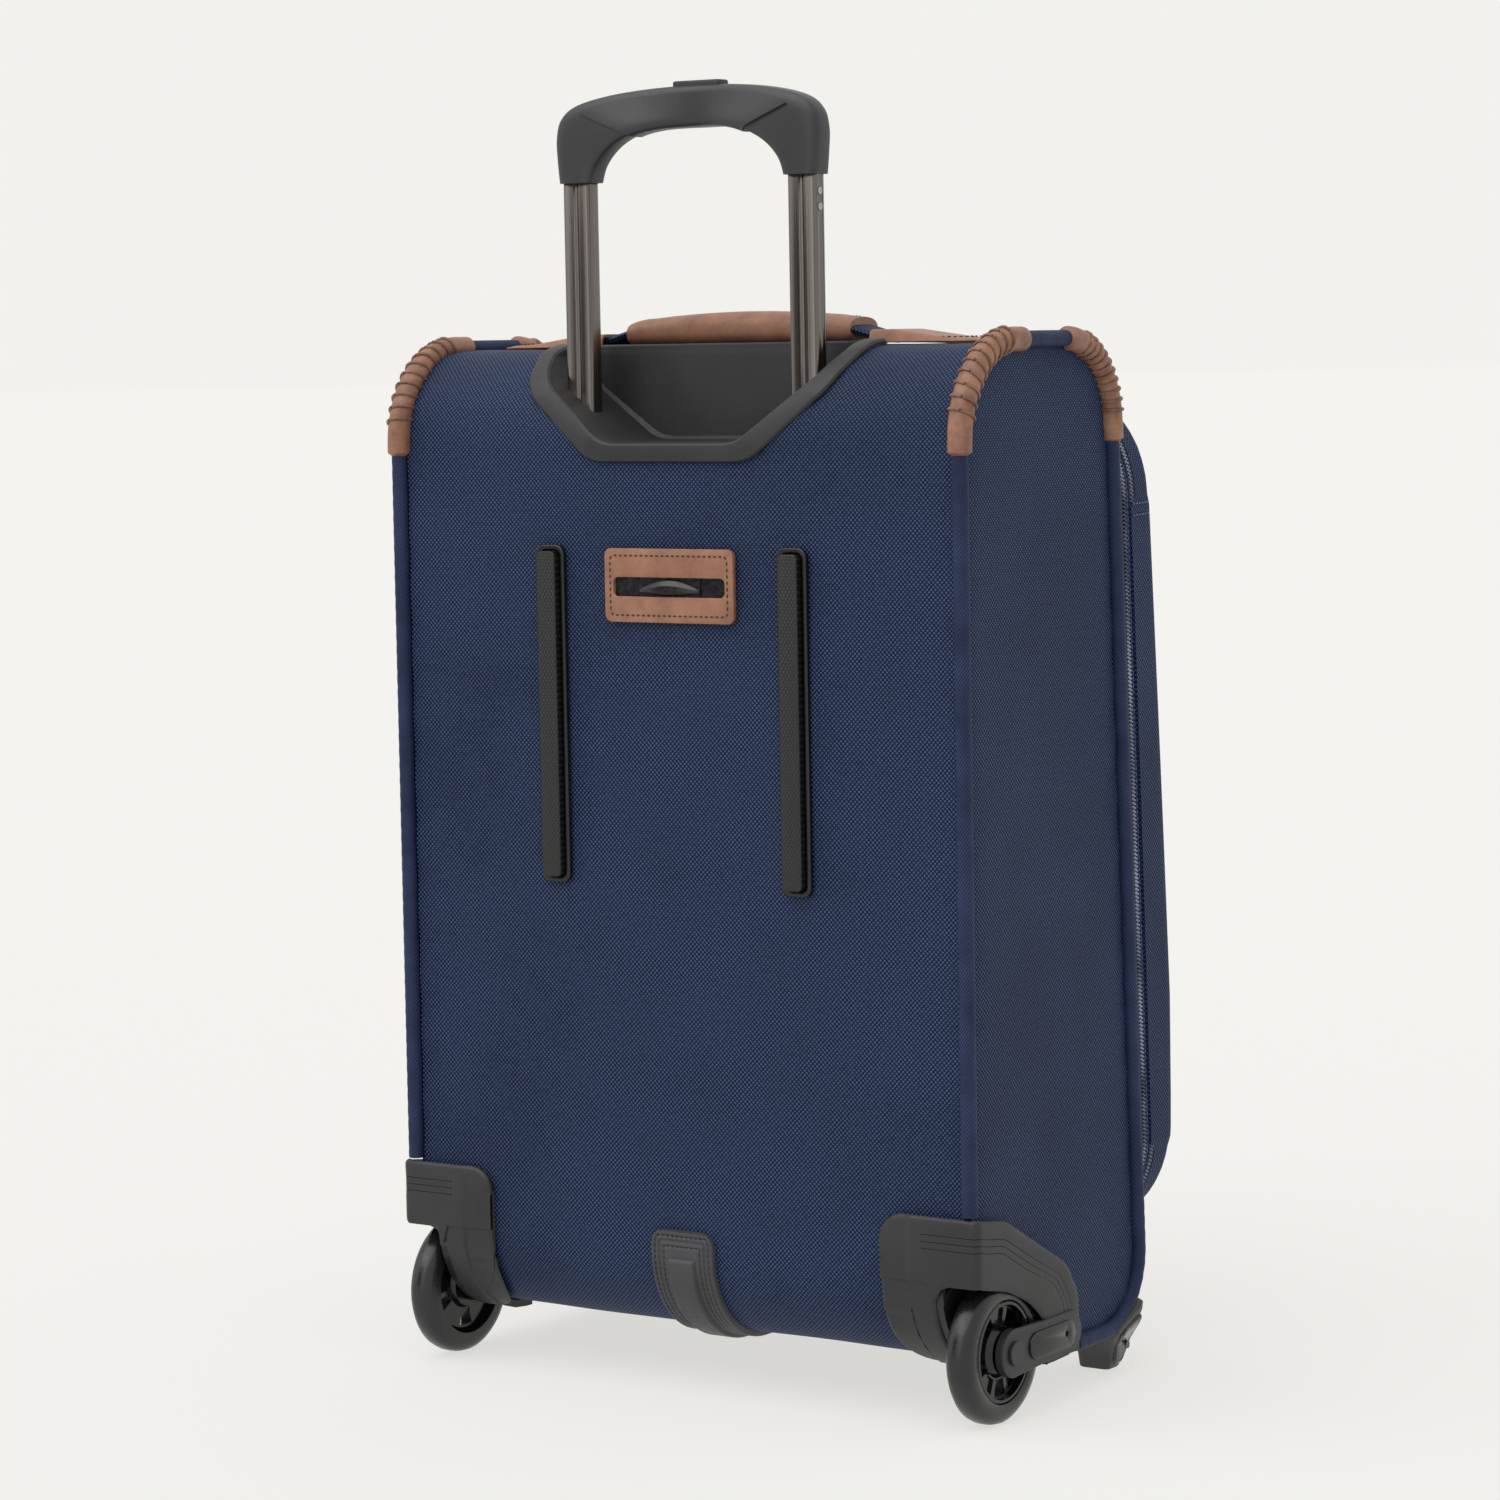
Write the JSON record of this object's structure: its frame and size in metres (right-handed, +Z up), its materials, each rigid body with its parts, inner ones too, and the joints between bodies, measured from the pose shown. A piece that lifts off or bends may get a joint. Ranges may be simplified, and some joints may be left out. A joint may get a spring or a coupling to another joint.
{
  "type": "softside upright suitcase",
  "caption": "Softside carry-on suitcase with a zipped front lid, inline wheels, a telescopic handle sliding out of a rear cup, carry handles and leather trim.",
  "frame": {"origin": "on the floor, under the middle of the case's bounding box", "axes": "+Z up, the lid faces -Y, the telescopic handle and the wheels are at +Y, +X to the right of someone facing the lid"},
  "size_m": [0.372, 0.2293, 0.6875],
  "materials": {
    "navy_nylon": "woven",
    "frame_board": "matte",
    "moulded_tray": "matte",
    "piping_cloth": "woven",
    "dark_leather": "satin",
    "tan_leather": "satin",
    "cup_plastic": "matte",
    "outer_tube_metal": "satin",
    "inner_tube_metal": "brushed",
    "lining_cloth": "woven",
    "webbing": "woven",
    "black_plastic": "matte",
    "charcoal_rubber": "matte",
    "charcoal_plastic": "matte",
    "gloss_black": "gloss",
    "axle_steel": "brushed",
    "black_steel": "satin",
    "wheel_tyre": "matte",
    "zip_tape": "woven",
    "zip_metal": "satin",
    "grip_plastic": "matte",
    "rivet_metal": "satin"
  },
  "bodies": {
    "case": {"wrap_fabric": "navy_nylon", "side_fabric_left": "navy_nylon", "side_fabric_right": "navy_nylon", "back_board": "frame_board", "top_frame": "frame_board", "bottom_tray": "moulded_tray", "side_boards": "frame_board", "piping": "piping_cloth", "corner_guards": "dark_leather", "handle_cup": "cup_plastic", "outer_tubes": "outer_tube_metal", "tube_brackets": "moulded_tray", "lining_back": "lining_cloth", "tie_straps": "webbing", "tie_buckle": "black_plastic", "back_rails": "black_plastic", "rail_inserts": "black_plastic", "id_patch": "tan_leather", "scuff_guard": "charcoal_rubber", "wheel_housing_left": "charcoal_plastic", "wheel_housing_right": "charcoal_plastic", "arm_plates": "gloss_black", "wheel_axles": "axle_steel", "front_feet": "charcoal_plastic", "foot_plates": "gloss_black", "handle_tabs": "tan_leather", "expansion_gusset": "navy_nylon", "expansion_zip": "zip_tape", "main_zip_case_side": "zip_tape", "foot_screws": "black_steel"},
    "wheel_left": {"tyre_left": "wheel_tyre", "hub_left": "gloss_black", "wheel_bearings_left": "axle_steel"},
    "wheel_right": {"tyre_right": "wheel_tyre", "hub_right": "gloss_black", "wheel_bearings_right": "axle_steel"},
    "handle_middle": {"middle_tubes": "outer_tube_metal"},
    "handle": {"inner_tubes": "inner_tube_metal", "grip": "grip_plastic", "tube_rivets": "rivet_metal", "lock_plugs": "black_plastic"},
    "release_button": {"release_button": "grip_plastic", "release_rods": "axle_steel"},
    "lid": {"lid_board": "frame_board", "lid_fabric": "navy_nylon", "main_zip_lid_side": "zip_tape", "lower_pocket": "navy_nylon", "upper_pocket": "navy_nylon", "pocket_zips": "zip_tape", "lid_mesh_pocket": "lining_cloth"},
    "zip_slider_left": {"zip_slider_left": "zip_metal"},
    "zip_slider_right": {"zip_slider_right": "zip_metal"},
    "expansion_slider": {"expansion_slider": "zip_metal"},
    "expansion_pull": {"expansion_pull": "zip_metal"},
    "zip_pull_left": {"zip_pull_left": "zip_metal"},
    "zip_pull_right": {"zip_pull_right": "zip_metal"},
    "pocket_slider": {"pocket_slider": "zip_metal"},
    "id_tag": {"id_tag": "black_plastic"},
    "top_handle": {"top_handle": "tan_leather"},
    "side_handle": {"side_handle": "tan_leather"}
  },
  "joints": [
    {"name": "wheel_left_spin", "type": "hinge", "parent": "case", "child": "wheel_left", "pos_m": [-0.171, 0.077, 0.0375], "axis": [1, 0, 0], "continuous": true},
    {"name": "wheel_right_spin", "type": "hinge", "parent": "case", "child": "wheel_right", "pos_m": [0.171, 0.077, 0.0375], "axis": [1, 0, 0], "continuous": true},
    {"name": "handle_lower_stage", "type": "slide", "parent": "case", "child": "handle_middle", "axis": [0, 0, 1], "range_m": [0, 0.25]},
    {"name": "handle_upper_stage", "type": "slide", "parent": "handle_middle", "child": "handle", "axis": [0, 0, 1], "range_m": [-0.134, 0.13]},
    {"name": "button_press", "type": "slide", "parent": "handle", "child": "release_button", "axis": [0, 0, -1], "range_m": [0, 0.004], "stiffness_N_per_m": 800, "springref_m": -0.003},
    {"name": "lid_hinge", "type": "hinge", "parent": "case", "child": "lid", "pos_m": [0, -0.0885, 0.0626], "axis": [1, 0, 0], "range_deg": [0, 90]},
    {"name": "zip_left_run", "type": "slide", "parent": "lid", "child": "zip_slider_left", "axis": [-1, 0, 0], "range_m": [0, 0.085]},
    {"name": "zip_right_run", "type": "slide", "parent": "lid", "child": "zip_slider_right", "axis": [1, 0, 0], "range_m": [0, 0.085]},
    {"name": "zip_pull_left_swing", "type": "hinge", "parent": "zip_slider_left", "child": "zip_pull_left", "pos_m": [-0.012, -0.07237, 0.53579], "axis": [-1, 0, 0], "range_deg": [0, 100]},
    {"name": "zip_pull_right_swing", "type": "hinge", "parent": "zip_slider_right", "child": "zip_pull_right", "pos_m": [0.012, -0.07237, 0.53579], "axis": [-1, 0, 0], "range_deg": [0, 100]},
    {"name": "pocket_zip_run", "type": "slide", "parent": "lid", "child": "pocket_slider", "axis": [-1, 0, 0], "range_m": [0, 0.22]},
    {"name": "expansion_pull_swing", "type": "hinge", "parent": "expansion_slider", "child": "expansion_pull", "pos_m": [0.1745, -0.06589, 0.37232], "axis": [0, -0.9989, 0.0461], "range_deg": [0, 80]},
    {"name": "expansion_zip_run", "type": "slide", "parent": "case", "child": "expansion_slider", "axis": [0, 0.0461, 0.9989], "range_m": [-0.2, 0.08]},
    {"name": "id_tag_slide", "type": "slide", "parent": "case", "child": "id_tag", "axis": [1, 0, 0], "range_m": [-0.015, 0.015]},
    {"name": "top_handle_lift", "type": "slide", "parent": "case", "child": "top_handle", "axis": [0, 0, 1], "range_m": [0, 0.006]},
    {"name": "side_handle_lift", "type": "slide", "parent": "case", "child": "side_handle", "axis": [1, 0, 0], "range_m": [0, 0.006]}
  ]
}
